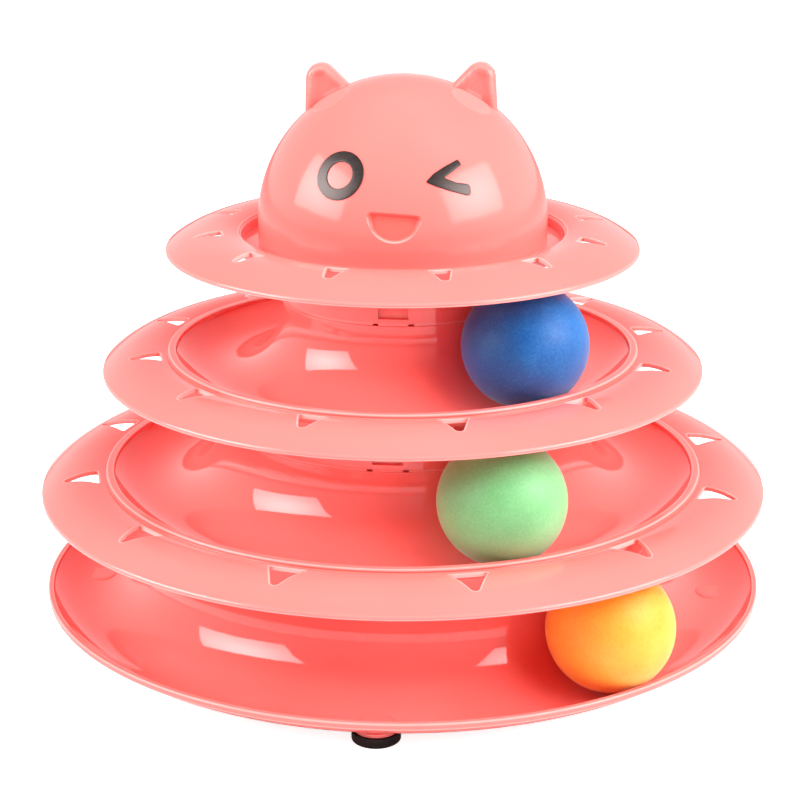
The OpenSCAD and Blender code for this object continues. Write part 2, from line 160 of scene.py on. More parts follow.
# Mouth, with pairs for its lower and its upper edge
MOUTH_R = 8.2
MOUTH_PLACE = (1, 14.4)
MOUTH_TILT = -3.9
MOUTH_CORNER = 1.2
MOUTH_DEPTHS = (0.78, 1.69)
MOUTH_SLOPES = (0.72, 1.53)
MOUTH_MARGIN = 2
# Painted shade on the mouth's floor, and a painted highlight along its lower rim, with where that
# highlight lies
MOUTH_FLOOR_PAINTED_SHADE = 0.4
MOUTH_RIM_PAINTED_HIGHLIGHT = 0.65
MOUTH_RIM_AT = 0.35
MOUTH_RIM_HALF = 0.45

# Ears, their corners flat on the right one's own plane
EAR_CORNERS = ((27.4, 31), (26.5, 47.9), (15, 36.4))
EAR_TIP_R = 5
EAR_MIDDLE = (26, 1.4, 46)
EAR_SHIFT = -0.7
EAR_SPREAD = (1, 0.6, 1)
EAR_REACH = 30.0
EAR_HALVINGS = 40
EAR_HALF = 4.1
EAR_ROUND = 2.6
EAR_DIP = 1.4
EAR_DIP_BAND = (1, 4.4)
EAR_LEAN = 0.9
EAR_ROOT = 1
EAR_FOOT = 0.2
EAR_STEP = 0.05
# Painted highlight on the ears: a gain on their edge highlight and a paling all over
EAR_PAINTED_HIGHLIGHT = (1.8, 0.05)

# Eyes: the closed one's corners, from its bend round both arms, with their rounding
EYE_R = 8.15
EYE_IN_R = 4.45
EYE_PLACE = (-23.4, 28.3)
WINK_PLACE = (22.8, 28)
WINK_CORNERS = [((-6.9, -0.9), 0.4), ((-3.5, -2.7), 0.8), ((1.1, -4.5), 1.0), ((7.7, -6.5), 1.75),
                ((7.8, -2.5), 1.5), ((3.1, -1.8), 0.5), ((-0.7, -0.05), 0.3), ((5.9, 3.9), 0.7),
                ((5.0, 5.9), 0.8), ((0.4, 3.85), 0.6), ((-4.0, 1.6), 0.8)]
CORNER_SHARE = 0.48
WINK_PITCH = 0.5
INLAY_PROUD = 0.3
INLAY_SUNK = 0.4
INLAY_ROUND = 0.12
INLAY_PITCH = 0.7
INLAY_MARGIN = 0.5
INLAY_SHARP_TURN = 50

# Feet, their bosses and the discs over them
FOOT_D = 15.4
FOOT_H = 3.3
FOOT_PLACE_R = 1.7
FOOT_CUP_H = 0.5
FOOT_RING_W = 2.6
FOOT_RING_TOP_W = 3
FOOT_ROUNDS = (0.3, 0.2, 0.6, 0.25)
BOSS_D = 13.8
BOSS_H = 0.3
BOSS_ROUNDS = (0.15, 0.1, 0.3, 0.4)
DISC_D = 9.9
DISC_H = 0.55
DISC_SIDE = 1

# Colours
PINK = ((0.965, 0.176, 0.155), (0.975, 0.192, 0.17))
# Pale pink painted highlight for the edge layer and deep red painted shade for the inward-bend layer
PINK_PAINTED_LIGHT = {"edge": (1.0, 0.55, 0.52), "painted_shade": (0.95, 0.045, 0.02)}
FILM_GREY = ((0.01, 0.007, 0.007), (0.028, 0.02, 0.019))
FILM_GLOSS_TINT = (1.0, 0.82, 0.78, 1.0)
RUBBER_BLACK = ((0.005, 0.0025, 0.0025), (0.011, 0.006, 0.006))
BALL_COLOURS = {
    "yellow": ((0.97, 0.44, 0.06), (0.96, 0.39, 0.035), (0.94, 0.33, 0.02)),
    "green": ((0.24, 0.52, 0.24), (0.2, 0.47, 0.2), (0.16, 0.41, 0.16)),
    "blue": ((0.015, 0.14, 0.41), (0.002, 0.095, 0.32), (0.0, 0.06, 0.25)),
}

# Stage, in metres, with how strongly it shows and how the lamps fade outwards
FLOOR_HALF = 6
FLOOR_GLOW = 0.86
FLOOR_MIRRORED = 0.1
WORLD_FILL = 0.05
WORLD_MIRRORED = (0.9, 0.3)
WORLD_FADE = (0.1, 0.6)
LAMP_AIM = (0, 0, 0.1)
LAMP_GLOW = (1.45, 0.6)
LAMP_FADE = (0, 0.7)

# Camera, in millimetres: the photograph's own view
CAMERA_PLACE = (50.75, -675.0, 294.55)
CAMERA_TURN = 4.3
CAMERA_LIFT = 18.03
CAMERA_SHIFT = -0.0035
SENSOR_W = 36
LENS = 91.96

TROUGH_R = BALL_R + RUN_GAP
BEAD_R = BEAD_W / 2
HUBS = {"blue": HUB_R, "green": HUB_R + TIER_STEP, "yellow": HUB_R + 2 * TIER_STEP}
ORBITS = {name: hub + TROUGH_R for name, hub in HUBS.items()}


def rim_reach(ball_h, bead_h, bead_r):
    """Reach from a ball's orbit to the inside of a rim that just clears the ball."""
    return math.sqrt((TROUGH_R + bead_r) ** 2 - (ball_h - bead_h) ** 2) - bead_r


TRACK_REACH = rim_reach(TROUGH_R, RIM_H - BEAD_R, BEAD_R)
TRAY_REACH = rim_reach(TROUGH_R + DISC_H, TRAY_RIM_H - TRAY_RIM_W / 2, TRAY_RIM_W / 2) + TRAY_PLAY
SHOULDER_H = TROUGH_R + HUB_H
FOOT_R = ORBITS["yellow"] + FOOT_PLACE_R
CREST_H = RIM_H - BEAD_R + BRIM_CURVE - math.sqrt(BRIM_CURVE**2 - CREST_OUT**2)
TRAY_FLOOR = FOOT_H + BOSS_H + TRAY_WALL
BALL_ZS = {"yellow": TRAY_FLOOR + TROUGH_R + DISC_H}
MIDDLE_FLOOR = BALL_ZS["yellow"] + BALL_R + HEADROOM["yellow"] + BRIM_WALL - CREST_H
BALL_ZS["green"] = MIDDLE_FLOOR + TROUGH_R
UPPER_FLOOR = BALL_ZS["green"] + BALL_R + HEADROOM["green"] + BRIM_WALL - CREST_H
BALL_ZS["blue"] = UPPER_FLOOR + TROUGH_R
PLATE_CREST_Z = BALL_ZS["blue"] + BALL_R + HEADROOM["blue"] + BRIM_WALL
LIP_Z = PLATE_CREST_Z - PLATE_CURVE + math.sqrt(PLATE_CURVE**2 - PLATE_CREST_OUT**2)
SEAT_Z = LIP_Z - SEAT_DEPTH
SEAT_R = DOME_R + SEAT_GAP
DOME_CENTRE = np.array([0, 0, SEAT_Z + SKIRT_H])
TRAY_RIM_R = ORBITS["yellow"] + TRAY_REACH
MIDDLE_RIM_R = ORBITS["green"] + TRACK_REACH
UPPER_RIM_R = ORBITS["blue"] + TRACK_REACH


# Shares, directions and places

def smooth_step(value, low=0, high=1):
    """Rises smoothly from 0 at the low value to 1 at the high one."""
    share = np.clip((value - low) / (high - low), 0, 1)
    return share * share * (3 - 2 * share)


def spread(steps):
    """Shares from 0 to 1, closer together near both ends."""
    return (1 - np.cos(np.linspace(0, math.pi, steps + 1))) / 2


def unit(rows):
    """Rows of numbers scaled to a length of one."""
    return rows / np.maximum(np.linalg.norm(rows, axis=1), TINY)[:, None]


def direction(turn, lift):
    """The way outwards at a turn and a lift in degrees."""
    turn, lift = math.radians(turn), math.radians(lift)
    return np.array([math.sin(turn) * math.cos(lift), -math.cos(turn) * math.cos(lift), math.sin(lift)])


def ways_at(turn):
    """Flat directions at angles in radians from +x."""
    return np.column_stack((np.cos(turn), np.sin(turn)))


def around(count):
    """Flat directions all round, evenly spaced from the front."""
    return ways_at(np.radians(-90 + 360 * np.arange(count) / count))


def turned(points, turn):
    """Points turned round the upright axis by an angle in degrees."""
    c, s = math.cos(math.radians(turn)), math.sin(math.radians(turn))
    return points @ np.array([[c, s, 0], [-s, c, 0], [0, 0, 1]])


def soft_overlap(a, b, soft):
    """Distance from where two forms overlap, with a rounded corner."""
    a, b = a + soft, b + soft
    return np.minimum(np.maximum(a, b), 0) + np.hypot(np.maximum(a, 0), np.maximum(b, 0)) - soft


def slope_way(gap, points, step):
    """The directions in which a distance grows fastest."""
    return unit(np.column_stack([gap(points + d) - gap(points - d) for d in np.eye(3) * step]))


# Flat outlines

def bend(centre, radius, start, end, steps):
    """Points along an arc between two angles in degrees."""
    return centre + radius * ways_at(np.radians(start + (end - start) * spread(steps)))


def line(start, end, steps=6):
    share = spread(steps)[:, None]
    return np.array(start) * (1 - share) + np.array(end) * share


def straight(points, reaches, steps=None):
    """Straight stretches from point to point, with the corner reaches between them."""
    steps = steps or [6] * (len(points) - 1)
    parts = [line(points[0], points[1], steps[0])]
    for k, reach in enumerate(reaches, 1):
        parts += [reach, line(points[k], points[k + 1], steps[k])]
    return parts


def cut_back(path, reach):
    """The path without its first stretch of that length."""
    run = np.concatenate(([0], np.cumsum(np.linalg.norm(np.diff(path, axis=0), axis=1))))
    first = [np.interp(reach, run, path[:, k]) for k in (0, 1)]
    return np.vstack((first, path[run > reach * 1.001]))


def rounding(start, corner, end):
    """Seven points from start to end round a corner between them."""
    share = np.linspace(0, 1, 7)[:, None]
    return (1 - share) ** 2 * start + 2 * share * (1 - share) * corner + share**2 * end


def join(*parts):
    """Joins stretches, given as stretch, corner reach, stretch and so on, with soft corners."""
    path = parts[0]
    for reach, stretch in zip(parts[1::2], parts[2::2]):
        before = cut_back(path[::-1], reach)[::-1]
        after = cut_back(stretch, reach)
        path = np.vstack((before, rounding(before[-1], stretch[0], after[0])[1:-1], after))
    return path


def hole_outline(start, length):
    """Points round a three-cornered hole and their outward directions, its tip along +x."""
    half = start * math.tan(math.radians(HOLE_HALF_TURN))
    tip_turn = math.degrees(math.atan(half / length))
    corner_turn = math.radians((90 - tip_turn) / 2)
    tip = (start + length - HOLE_TIP_R, 0)
    corner = (start + HOLE_CORNER_R, half - HOLE_CORNER_R / math.tan(corner_turn))
    rounds = [(tip, HOLE_TIP_R, tip_turn - 90, 90 - tip_turn),
              (corner, HOLE_CORNER_R, 90 - tip_turn, 180),
              ((corner[0], -corner[1]), HOLE_CORNER_R, 180, 270 + tip_turn)]
    arcs = []
    for centre, radius, first, last in rounds:
        way = ways_at(np.radians(np.linspace(first, last, 9)))
        arcs.append(np.hstack((centre + radius * way, way)))
    rows = []
    for arc, next_arc in zip(arcs, arcs[1:] + arcs[:1]):
        side = np.array([arc[-1], next_arc[0]])
        count = max(2, int(np.linalg.norm((side[1] - side[0])[:2]) / HOLE_PITCH))
        share = np.linspace(0, 1, count + 1)[1:-1, None]
        rows += [arc, side[0] * (1 - share) + side[1] * share]
    return np.hsplit(np.vstack(rows), 2)


def outline_gap(points, loop):
    """Distance of flat points from a closed outline, negative inside."""
    way = np.roll(loop, -1, axis=0) - loop
    away = points[:, None] - loop
    along = np.clip((away * way).sum(-1) / (way**2).sum(-1), 0, 1)
    nearest = np.linalg.norm(away - along[..., None] * way, axis=-1).min(1)
    crosses = (away[..., 1] < 0) != (away[..., 1] < way[:, 1])
    left = way[:, 0] * away[..., 1] > way[:, 1] * away[..., 0]
    inside = (crosses & (left == (way[:, 1] > 0))).sum(1) % 2 == 1
    return np.where(inside, -nearest, nearest)


def hex_grid(pitch, half):
    rows = np.arange(-half, half, pitch * math.sqrt(3) / 2)
    columns = np.arange(-half, half, pitch)
    return np.vstack([np.column_stack((columns + pitch / 2 * (k % 2), np.full(len(columns), y)))
                      for k, y in enumerate(rows)])


# Meshes

def show(name, data):
    """A new object in the scene."""
    thing = bpy.data.objects.new(name, data)
    bpy.context.scene.collection.objects.link(thing)
    return thing


def read(items, field, width=1, kind=float):
    """One field of all the items, in rows where it is more than one number."""
    values = np.empty(len(items) * width, kind)
    items.foreach_get(field, values)
    return values.reshape(-1, width) if width > 1 else values


def paint_bend_light(mesh):
    """Writes each vertex's painted highlight where it bends outwards and painted shade where it bends
    inwards; the tightest bends get none.
    """
    points = read(mesh.vertices, "co", 3) / MM
    normals = read(mesh.vertices, "normal", 3)
    ends = read(mesh.edges, "vertices", 2, int)
    way = points[ends[:, 1]] - points[ends[:, 0]]
    turn = normals[ends[:, 1]] - normals[ends[:, 0]]
    length = np.linalg.norm(way, axis=1)
    bending = (way * turn).sum(1) / np.maximum(length, BENDING_SHORTEST) ** 2
    bending[length >= BENDING_REACH] = 0
    # The edge layer is a painted highlight on outward bends, the other a painted shade in inward bends
    for name, sign in (("edge", 1), ("painted_shade", -1)):
        most = np.zeros(len(points))
        for k in (0, 1):
            np.maximum.at(most, ends[:, k], sign * bending)
        share = smooth_step(most, *BENDING) * (1 - smooth_step(most, *BENDING_TOO_TIGHT))
        tint = mesh.attributes.new(name, "FLOAT", "POINT")
        tint.data.foreach_set("value", share * PAINTED_LIGHT_SHARE[name])


class Skin:
    """Vertices and faces of one piece, gathered in millimetres."""

    def __init__(self):
        self.points, self.faces = [], []

    def add(self, points, faces):
        first = sum(len(rows) for rows in self.points)
        self.points.append(points)
        self.faces += [[int(k) + first for k in face] for face in faces]

    def build(self, name):
        mesh = bpy.data.meshes.new(name)
        mesh.from_pydata(np.vstack(self.points) * MM, [], self.faces)
        bm = bmesh.new()
        bm.from_mesh(mesh)
        bmesh.ops.remove_doubles(bm, verts=bm.verts, dist=WELD * MM)
        bmesh.ops.recalc_face_normals(bm, faces=bm.faces)
        bm.to_mesh(mesh)
        bm.free()
        mesh.shade_smooth()
        # Painted highlight and painted shade layers, by how the surface bends
        paint_bend_light(mesh)
        return show(name, mesh)


def grid_faces(rows, columns):
    """Faces between neighbouring rows of points, each a closed ring."""
    row, column = np.meshgrid(np.arange(rows - 1), np.arange(columns), indexing="ij")
    a = (row * columns + column).ravel()
    b = (row * columns + (column + 1) % columns).ravel()
    return np.column_stack((a, b, b + columns, a + columns))


def triangulate(spots, edges, inside_only=False):
    """Flat points joined by triangles that keep the given edges."""
    kind = 1 if inside_only else 0
    made, _, faces, *_ = delaunay_2d_cdt([Vector(p) for p in spots], edges, [], kind, SPOT_WELD)
    return np.array([tuple(v) for v in made]), np.array(faces)


def add_lathe(skin, path, columns=COLUMNS, centre=(0, 0)):
    """Turns a path of radius and height right round an upright axis."""
    plan = (centre + path[:, :1, None] * around(columns)).reshape(-1, 2)
    points = np.column_stack((plan, np.repeat(path[:, 1], columns)))
    skin.add(points, grid_faces(len(path), columns))


def on_brim(plan, brim, under):
    """Heights of a brim's upper or lower face over points of its plan."""
    crest_r, crest_z, curve = brim
    radius = curve - BRIM_WALL if under else curve
    return crest_z - curve + np.sqrt(radius**2 - (np.hypot(plan[:, 0], plan[:, 1]) - crest_r) ** 2)


def add_brim(skin, brim, start, length, edge_r):
    """A brim's ring of three-cornered holes with their walls, and the rest out to its edge."""
    inner_r, outer_r = start - HOLE_MARGIN, start + length + HOLE_MARGIN
    add_lathe(skin, brim_edge(brim, outer_r, edge_r))
    points, ways = hole_outline(start, length)
    half_turn = math.pi / HOLE_COUNT
    mid_r = (inner_r + outer_r) / 2
    turns = np.linspace(-half_turn, half_turn, COLUMNS // HOLE_COUNT + 1)
    radii = np.linspace(inner_r, outer_r, int((outer_r - inner_r) / ZONE_PITCH) + 1)
    grid = np.stack(np.meshgrid(radii, turns), axis=-1).reshape(-1, 2)
    plan = grid[:, :1] * ways_at(grid[:, 1])
    edges = [(k, (k + 1) % len(points)) for k in range(len(points))]
    rings, patches = [], []
    for under, fillet in ((False, HOLE_ROUND), (True, HOLE_ROUND_UNDER)):
        ring = points + fillet * ways
        guard = fillet + ZONE_GUARD
        outside = ((plan[:, None] - points) * ways).sum(-1).max(1) > guard + ZONE_CLEAR
        flat = np.vstack((ring, points + guard * ways, plan[outside]))
        rolled_out = (np.hypot(flat[:, 0], flat[:, 1]), mid_r * np.arctan2(flat[:, 1], flat[:, 0]))
        made, faces = triangulate(np.column_stack(rolled_out), edges)
        flat = made[:, :1] * ways_at(made[:, 1] / mid_r)
        faces = faces[outline_gap(flat[faces].mean(1), ring) > 0]
        patches.append((np.column_stack((flat, on_brim(flat, brim, under))), faces))
        wall = []
        for step in np.radians(np.linspace(0, 90, 5)):
            edge = points + fillet * (1 - math.sin(step)) * ways
            drop = fillet * (1 - math.cos(step)) * (1 if under else -1)
            wall.append(np.column_stack((edge, on_brim(edge, brim, under) + drop)))
        rings += wall[::-1] if under else wall
    patches.append((np.vstack(rings), grid_faces(len(rings), len(points))))
    for spots, faces in patches:
        for k in range(HOLE_COUNT):
            skin.add(turned(spots, HOLE_TURN + k * 360 / HOLE_COUNT - 90), faces)


def add_block(skin, low, high, turn):
    """A box between two corners, turned round the upright axis."""
    (x0, y0, z0), (x1, y1, z1) = low, high
    corners = np.array([[x, y, z] for z in (z0, z1) for y in (y0, y1) for x in (x0, x1)])
    faces = [(0, 2, 3, 1), (4, 5, 7, 6), (0, 1, 5, 4), (2, 6, 7, 3), (0, 4, 6, 2), (1, 3, 7, 5)]
    skin.add(turned(corners, turn), faces)


def add_hooks(skin, hub, seam_z):
    """Wedge-shaped hooks round a neck, each in a window of the collar over it."""
    neck_r = hub - WALL - FIT_GAP
    low = seam_z + SILL_H + HOOK_GAP
    half = WINDOW_W / 2 - HOOK_GAP
    root = neck_r - NECK_WALL / 2
    tip = neck_r + HOOK_OUT
    side = [(root, low), (tip, low), (tip, low + HOOK_OUT / 2), (neck_r, low + HOOK_H),
            (root, low + HOOK_H)]
    points = np.array([[x, -r, z] for x in (-half, half) for r, z in side])
    corners = len(side)
    faces = [range(corners), range(2 * corners - 1, corners - 1, -1)]
    faces += [(j, corners + j, corners + (j + 1) % corners, (j + 1) % corners) for j in range(corners)]
    for k in range(WINDOWS):
        skin.add(turned(points, k * 360 / WINDOWS), faces)


def combine(piece, other, operation):
    """Cuts another solid from a piece or unites the two, and drops the other."""
    change = piece.modifiers.new("combine", "BOOLEAN")
    change.operation = operation
    change.solver = "MANIFOLD"
    change.object = other
    ready = piece.evaluated_get(bpy.context.evaluated_depsgraph_get())
    mesh = bpy.data.meshes.new_from_object(ready)
    piece.modifiers.clear()
    piece.data = mesh
    bpy.data.objects.remove(other)


def polish(piece, surfaces, whole_faces=False):
    """Gives the corners on known surfaces those surfaces' exact normals."""
    mesh = piece.data
    mesh.set_sharp_from_angle(angle=math.radians(SHARP_TURN))
    corner = read(mesh.loops, "vertex_index", kind=int)
    points = read(mesh.vertices, "co", 3) / MM
    normals = read(mesh.corner_normals, "vector", 3)
    starts = read(mesh.polygons, "loop_start", kind=int)
    for surface in surfaces:
        on, way = surface(points)
        on_corner = on[corner]
        if whole_faces:
            whole = np.minimum.reduceat(on_corner.astype(int), starts)
            on_corner = np.repeat(whole, np.diff(np.append(starts, len(corner)))).astype(bool)
        normals[on_corner] = way[corner][on_corner]
    mesh.normals_split_custom_set(normals)


def turned_arc(centre, radius, hollow, low_r, high_r):
    """A surface that an arc sweeps round the axis, hollow if seen from the arc's own side."""
    def surface(points):
        r = np.hypot(points[:, 0], points[:, 1])
        away = np.column_stack((r - centre[0], points[:, 2] - centre[1]))
        distance = np.hypot(away[:, 0], away[:, 1])
        away = unit(away) * (-1 if hollow else 1)
        on = (abs(distance - radius) < ARC_TOUCH) & (r > low_r) & (r < high_r)
        return on, np.column_stack((unit(points[:, :2]) * away[:, :1], away[:, 1]))
    return surface


# Turned shells

def brim_stretch(brim, start_r, end_r, under, steps=16):
    """The upper or lower line of a brim between two radii."""
    crest_r, crest_z, curve = brim
    radius = curve - BRIM_WALL if under else curve
    start, end = (math.degrees(math.acos((r - crest_r) / radius)) for r in (start_r, end_r))
    return bend((crest_r, crest_z - curve), radius, start, end, steps)


def brim_edge(brim, start_r, edge_r):
    """The brim's outer end: its lower line, the band round its edge and its upper line."""
    top = brim_stretch(brim, edge_r, start_r, False)
    under = brim_stretch(brim, start_r, edge_r - EDGE_SLOPE_W, True)
    foot = (edge_r, top[0][1] - EDGE_BAND)
    low_round, foot_round, top_round = EDGE_ROUNDS
    return join(under, low_round, *straight([under[-1], foot, top[0]], [foot_round]), top_round, top)


def brim_surfaces(brim, start_r, edge_r):
    """The brim's two faces, from where its own curve starts to the rounding of its edge."""
    crest_r, crest_z, curve = brim
    return [turned_arc((crest_r, crest_z - curve), radius, hollow, start_r, edge_r - EDGE_ROUNDS[-1])
            for radius, hollow in ((curve, False), (curve - BRIM_WALL, True))]


def hub_top(hub, floor_z, thick):
    """A hub's wall, shoulder and neck, and the way back down inside."""
    shoulder = floor_z + SHOULDER_H
    neck_r = hub - WALL - FIT_GAP
    top = shoulder + NECK_H
    start = floor_z + TROUGH_R
    inside = neck_r - NECK_WALL
    return [CRISP, *straight([(hub, start), (hub, shoulder), (neck_r, shoulder), (neck_r, top),
                              (inside, top), (inside, shoulder - NECK_ROOT), (hub - thick, start)],
                             [CRISP, CRISP, EASED, EASED, DULL])]


def trough(hub, orbit, floor_z, reach, curve, thick):
    """The trough from its rim's foot to its hub, and the hub up and back down inside."""
    rim_turn = math.degrees(math.asin(reach / curve)) - 90
    return [RIM_FOOT, bend((orbit, floor_z + curve), curve, rim_turn, -90, steps=30), SEAMLESS,
            bend((orbit, floor_z + TROUGH_R), TROUGH_R, -90, -180, steps=36),
            *hub_top(hub, floor_z, thick), CRISP]


def trough_surfaces(hub, orbit, floor_z, reach, curve):
    return [turned_arc((orbit, floor_z + TROUGH_R), TROUGH_R, True, hub, orbit),
            turned_arc((orbit, floor_z + curve), curve, True, orbit, orbit + reach)]


def rim_band(rim_r, width, foot_z, top_z, soft):
    """A flat-topped rim, from its outer foot to its inner one."""
    outer_r = rim_r + width
    return straight([(outer_r, foot_z), (outer_r, top_z), (rim_r, top_z), (rim_r, foot_z)],
                    [soft, soft], [3, 5, 3])


def make_tray():
    """The lowest trough, with a boss and a disc at each foot and the hooks on its neck."""
    rise = TRAY_RIM_H - TRAY_RIM_W / 2
    curve = (TRAY_REACH**2 + rise**2) / (2 * rise)
    hub, orbit = HUBS["yellow"], ORBITS["yellow"]
    lip_low = TRAY_RIM_H - TRAY_LIP_H
    lip_turn = math.degrees(math.asin((lip_low - curve) / (curve + TRAY_WALL)))
    rim = rim_band(TRAY_RIM_R, TRAY_RIM_W, TRAY_FLOOR + rise, TRAY_FLOOR + TRAY_RIM_H, TRAY_RIM_ROUND)
    under = bend((orbit, TRAY_FLOOR + curve), curve + TRAY_WALL, -90, lip_turn, steps=24)
    lip = (TRAY_RIM_R + TRAY_RIM_W, TRAY_FLOOR + lip_low)
    skin = Skin()
    add_lathe(skin, join(
        *rim,
        *trough(hub, orbit, TRAY_FLOOR, TRAY_REACH, curve, TRAY_WALL),
        bend((orbit, TRAY_FLOOR + TROUGH_R), TROUGH_R + TRAY_WALL, -180, -90, steps=24), SEAMLESS,
        under, SEAMLESS,
        *straight([under[-1], lip, rim[0][0]], [DULL])))
    tray = skin.build("tray_shell")
    extras = Skin()
    low = TRAY_FLOOR - TRAY_WALL / 2
    top = TRAY_FLOOR + DISC_H
    boss = join(*straight([(0, FOOT_H), (BOSS_D / 2, FOOT_H), (BOSS_D / 2, low),
                           (DISC_D / 2 + DISC_SIDE, TRAY_FLOOR), (DISC_D / 2, top), (0, top)],
                          BOSS_ROUNDS, [2, 6, 6, 6, 4]))
    for k in range(4):
        add_lathe(extras, boss, columns=48, centre=FOOT_R * direction(k * 90, 0)[:2])
    add_hooks(extras, hub, TRAY_FLOOR + SHOULDER_H)
    combine(tray, extras.build("tray_extras"), "UNION")
    polish(tray, trough_surfaces(hub, orbit, TRAY_FLOOR, TRAY_REACH, curve))
    return tray


def cut_collar(piece, r, seam_z):
    """Cuts the windows and the relief notches into a collar."""
    cuts = Skin()
    notch_turn = math.degrees(math.atan((WINDOW_W / 2 + NOTCH_OUT + NOTCH_W / 2) / r))
    near, far = -r - CUT_PAST, -r + WALL + CUT_PAST
    sill = seam_z + SILL_H
    for k in range(WINDOWS):
        turn = k * 360 / WINDOWS
        add_block(cuts, (-WINDOW_W / 2, near, sill), (WINDOW_W / 2, far, sill + WINDOW_H), turn)
        for side in (-1, 1):
            add_block(cuts, (-NOTCH_W / 2, near, seam_z - CUT_PAST),
                      (NOTCH_W / 2, far, seam_z + NOTCH_H), turn + side * notch_turn)
    combine(piece, cuts.build("cuts"), "DIFFERENCE")


def make_track(name, ball, floor_z, floor_below, rim_below, hole):
    """A trough with its beaded rim, its brim, its collar and its hooks."""
    hub, orbit = HUBS[ball], ORBITS[ball]
    rise = RIM_H - BEAD_R
    rim_r = orbit + TRACK_REACH
    curve = (TRACK_REACH**2 + rise**2) / (2 * rise)
    crease_r = rim_r + BEAD_W
    edge_r = rim_below + BRIM_OVER
    brim = (crease_r + CREST_OUT, floor_z + CREST_H, BRIM_CURVE)
    hole_r = crease_r + hole[0]
    inner_r = hole_r - HOLE_MARGIN
    seam_z = floor_below + SHOULDER_H
    collar_r = hub + TIER_STEP
    in_turn = -math.degrees(math.acos((collar_r - WALL - orbit) / (TROUGH_R + WALL)))
    out_turn = -math.degrees(math.acos((collar_r - orbit) / (curve + WALL)))
    wall_r = rim_r + WALL
    meet_z = on_brim(np.array([[wall_r, 0]]), brim, True)[0]
    meet_turn = math.degrees(math.asin((meet_z - floor_z - curve) / (curve + WALL)))
    inner_under = bend((orbit, floor_z + TROUGH_R), TROUGH_R + WALL, -180, in_turn, steps=20)
    outer_under = bend((orbit, floor_z + curve), curve + WALL, out_turn, meet_turn, steps=20)
    skin = Skin()
    add_lathe(skin, join(
        brim_stretch(brim, inner_r, crease_r, False, steps=8), SOFT,
        *rim_band(rim_r, BEAD_W, floor_z + rise, floor_z + RIM_H, BEAD_ROUND),
        *trough(hub, orbit, floor_z, TRACK_REACH, curve, WALL),
        inner_under, CRISP,
        *straight([inner_under[-1], (collar_r - WALL, seam_z), (collar_r, seam_z), outer_under[0]],
                  [CRISP, CRISP]), HOLLOW,
        outer_under, SOFT,
        brim_stretch(brim, wall_r, inner_r, True, steps=10)))
    add_brim(skin, brim, hole_r, hole[1], edge_r)
    track = skin.build(name)
    cut_collar(track, collar_r, seam_z)
    hooks = Skin()
    add_hooks(hooks, hub, floor_z + SHOULDER_H)
    combine(track, hooks.build("hooks"), "UNION")
    polish(track, [*trough_surfaces(hub, orbit, floor_z, TRACK_REACH, curve),
                   *brim_surfaces(brim, crease_r + SOFT, edge_r)])
    return track


def make_plate():
    """The head's brim, with its sunk seat, the ring inside it and the top collar."""
    edge_r = UPPER_RIM_R + BRIM_OVER
    lip_r = SEAT_R + LIP_ROUND
    brim = (SEAT_R + PLATE_CREST_OUT, PLATE_CREST_Z, PLATE_CURVE)
    hole_r = SEAT_R + PLATE_HOLE[0]
    inner_r = hole_r - HOLE_MARGIN
    under_z = SEAT_Z - WALL
    seam_z = UPPER_FLOOR + SHOULDER_H
    wall_r = SEAT_R + WALL
    collar_in = HUB_R - WALL
    spigot_r = DOME_R - DOME_WALL - FIT_GAP
    spigot_in = spigot_r - SPIGOT_WALL
    spigot_z = SEAT_Z + SPIGOT_H
    under = brim_stretch(brim, wall_r, inner_r, True, steps=10)
    skin = Skin()
    add_lathe(skin, join(
        brim_stretch(brim, inner_r, lip_r, False, steps=10), CRISP,
        bend((lip_r, LIP_Z - LIP_ROUND), LIP_ROUND, 90, 180, steps=8), SEAMLESS,
        *straight([(SEAT_R, LIP_Z - LIP_ROUND), (SEAT_R, SEAT_Z), (spigot_r, SEAT_Z),
                   (spigot_r, spigot_z), (spigot_in, spigot_z), (spigot_in, SEAT_Z),
                   (collar_in, SEAT_Z), (collar_in, seam_z), (HUB_R, seam_z), (HUB_R, under_z),
                   (wall_r, under_z), under[0]],
                  [DULL, CRISP, EASED, EASED, EASED, EASED, CRISP, CRISP, HOLLOW, SOFT]), SOFT,
        under))
    add_brim(skin, brim, hole_r, PLATE_HOLE[1], edge_r)
    plate = skin.build("plate_shell")
    cut_collar(plate, HUB_R, seam_z)
    polish(plate, brim_surfaces(brim, lip_r + EASED, edge_r))
    return plate


# Head

def face_axes(turn, lift):
    """Right, up and outward directions at a place on the dome."""
    out, right = direction(turn, lift), direction(turn + 90, 0)
    return right, np.cross(out, right), out


MOUTH = face_axes(*MOUTH_PLACE)
GATE = face_axes(*GATE_PLACE)
FLATS = [direction(side * FLAT_PLACE[0], FLAT_PLACE[1]) for side in (-1, 1)]
FLAT_DISTANCE = math.sqrt(DOME_R**2 - FLAT_R**2)
EQUATOR = math.pi / 2 * DOME_R


def mouth_gap(ways):
    """Distance of directions from the mouth's outline, negative inside, and their share of its height."""
    right, up, out = MOUTH
    tilt = math.radians(MOUTH_TILT)
    across = ways @ (right * math.cos(tilt) + up * math.sin(tilt)) * DOME_R
    rise = ways @ (up * math.cos(tilt) - right * math.sin(tilt)) * DOME_R
    gap = soft_overlap(np.hypot(across, rise) - MOUTH_R, rise, MOUTH_CORNER)
    return np.where(ways @ out > 0, gap, BEHIND), np.clip(1 + rise / MOUTH_R, 0, 1)


def gate_distance(ways):
    """Distance of directions from the gate mark's middle, along the dome."""
    right, up, out = GATE
    return np.where(ways @ out > 0, np.hypot(ways @ right, ways @ up) * DOME_R, BEHIND)


